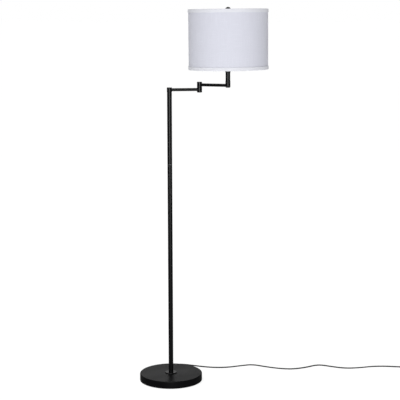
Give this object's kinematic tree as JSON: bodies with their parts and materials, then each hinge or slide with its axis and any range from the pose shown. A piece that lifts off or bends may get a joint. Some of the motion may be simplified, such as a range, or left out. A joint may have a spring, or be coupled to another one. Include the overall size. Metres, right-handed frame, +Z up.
{
  "type": "floor lamp",
  "caption": "Floor lamp with a weighted round base, sectional pole, two-part swing arm and a drum shade on a harp, with its lead and plug.",
  "frame": {"origin": "centre of the pad's underside, on the floor and on the pole's axis", "axes": "+Z up along the pole, +X towards the side where the arms and shade stand at rest, +Y towards the lead's exit"},
  "size_m": [1.183, 0.3852, 1.5078],
  "materials": {
    "satin_black_metal": "satin black powder coat on steel",
    "gloss_black_metal": "black enamel, semi-gloss",
    "cast_iron": "rough cast, grey",
    "pad_foam": "matt foam sheet",
    "zinc_steel": "bright zinc plate",
    "nylon": "black nylon",
    "lead_sheath": "soft black vinyl, satin",
    "moulded_black": "moulded, fine texture",
    "plated_brass": "bright nickel plate on brass",
    "harp_steel": "satin nickel plate",
    "socket_phenolic": "moulded phenolic, satin",
    "sleeve_fibre": "waxed fibre",
    "contact_brass": "plain pressed brass",
    "bulb_aluminium": "bright pressed",
    "bulb_glass": "frosted white",
    "shade_fabric": "off-white woven fabric laminated to a styrene sheet",
    "shade_trim": "matching woven tape",
    "shade_wire": "white coated wire"
  },
  "bodies": {
    "stand": {"base_pad": "pad_foam", "base_weight": "cast_iron", "base_cover": "satin_black_metal", "base_washer": "zinc_steel", "base_nut": "zinc_steel", "base_rod": "zinc_steel", "foot_disc": "satin_black_metal", "pole_section_1": "satin_black_metal", "pole_section_2": "satin_black_metal", "pole_section_3": "satin_black_metal", "pole_section_4": "satin_black_metal", "pole_inserts": "zinc_steel", "pole_couplings": "zinc_steel", "pole_head": "zinc_steel", "swivel_washer": "nylon", "swivel_spring": "zinc_steel", "swivel_nut": "zinc_steel", "lead_in_pole": "lead_sheath", "cord_strain_relief": "moulded_black", "cord": "lead_sheath", "cord_coil": "lead_sheath", "plug_body": "moulded_black", "plug_blades": "plated_brass"},
    "inner_arm": {"swivel_hub": "satin_black_metal", "swivel_cap": "satin_black_metal", "inner_arm_tube": "satin_black_metal", "elbow_lower_hub": "satin_black_metal", "elbow_dome": "satin_black_metal", "elbow_pin": "zinc_steel", "elbow_nuts": "zinc_steel", "elbow_washer": "nylon", "elbow_spring": "zinc_steel", "lead_in_inner_arm": "lead_sheath"},
    "outer_arm": {"elbow_upper_hub": "satin_black_metal", "elbow_cap": "satin_black_metal", "outer_arm_tube": "satin_black_metal", "end_hub": "satin_black_metal", "post_rod": "zinc_steel", "post_tube": "satin_black_metal", "check_ring": "satin_black_metal", "lead_in_outer_arm": "lead_sheath", "harp_saddle": "harp_steel", "harp": "harp_steel", "harp_stud": "harp_steel", "finial": "gloss_black_metal", "socket_cap": "socket_phenolic", "socket_shell": "socket_phenolic", "socket_sleeve": "sleeve_fibre", "socket_switch_body": "socket_phenolic", "socket_contacts": "contact_brass", "bulb_base": "bulb_aluminium", "bulb_envelope": "bulb_glass", "shade_drum": "shade_fabric", "shade_trims": "shade_trim", "bottom_ring": "shade_wire", "spider_frame": "shade_wire"},
    "knob": {"switch_knob": "moulded_black"},
    "ferrule_left": {"harp_ferrule_left": "harp_steel"},
    "ferrule_right": {"harp_ferrule_right": "harp_steel"}
  },
  "joints": [
    {"name": "pole_swivel", "type": "hinge", "parent": "stand", "child": "inner_arm", "pos_m": [0, 0, 1.186], "axis": [0, 0, 1], "range_deg": [-170, 170]},
    {"name": "elbow_swivel", "type": "hinge", "parent": "inner_arm", "child": "outer_arm", "pos_m": [0.11883, 0.0167, 1.1952], "axis": [0, 0, 1], "range_deg": [-140, 200]},
    {"name": "switch_turn", "type": "hinge", "parent": "outer_arm", "child": "knob", "pos_m": [0.23009, -0.02825, 1.284], "axis": [0, -1, 0], "continuous": true},
    {"name": "ferrule_lift_left", "type": "slide", "parent": "outer_arm", "child": "ferrule_left", "axis": [0, 0, 1], "range_m": [0, 0.009]},
    {"name": "ferrule_lift_right", "type": "slide", "parent": "outer_arm", "child": "ferrule_right", "axis": [0, 0, 1], "range_m": [0, 0.009]}
  ]
}
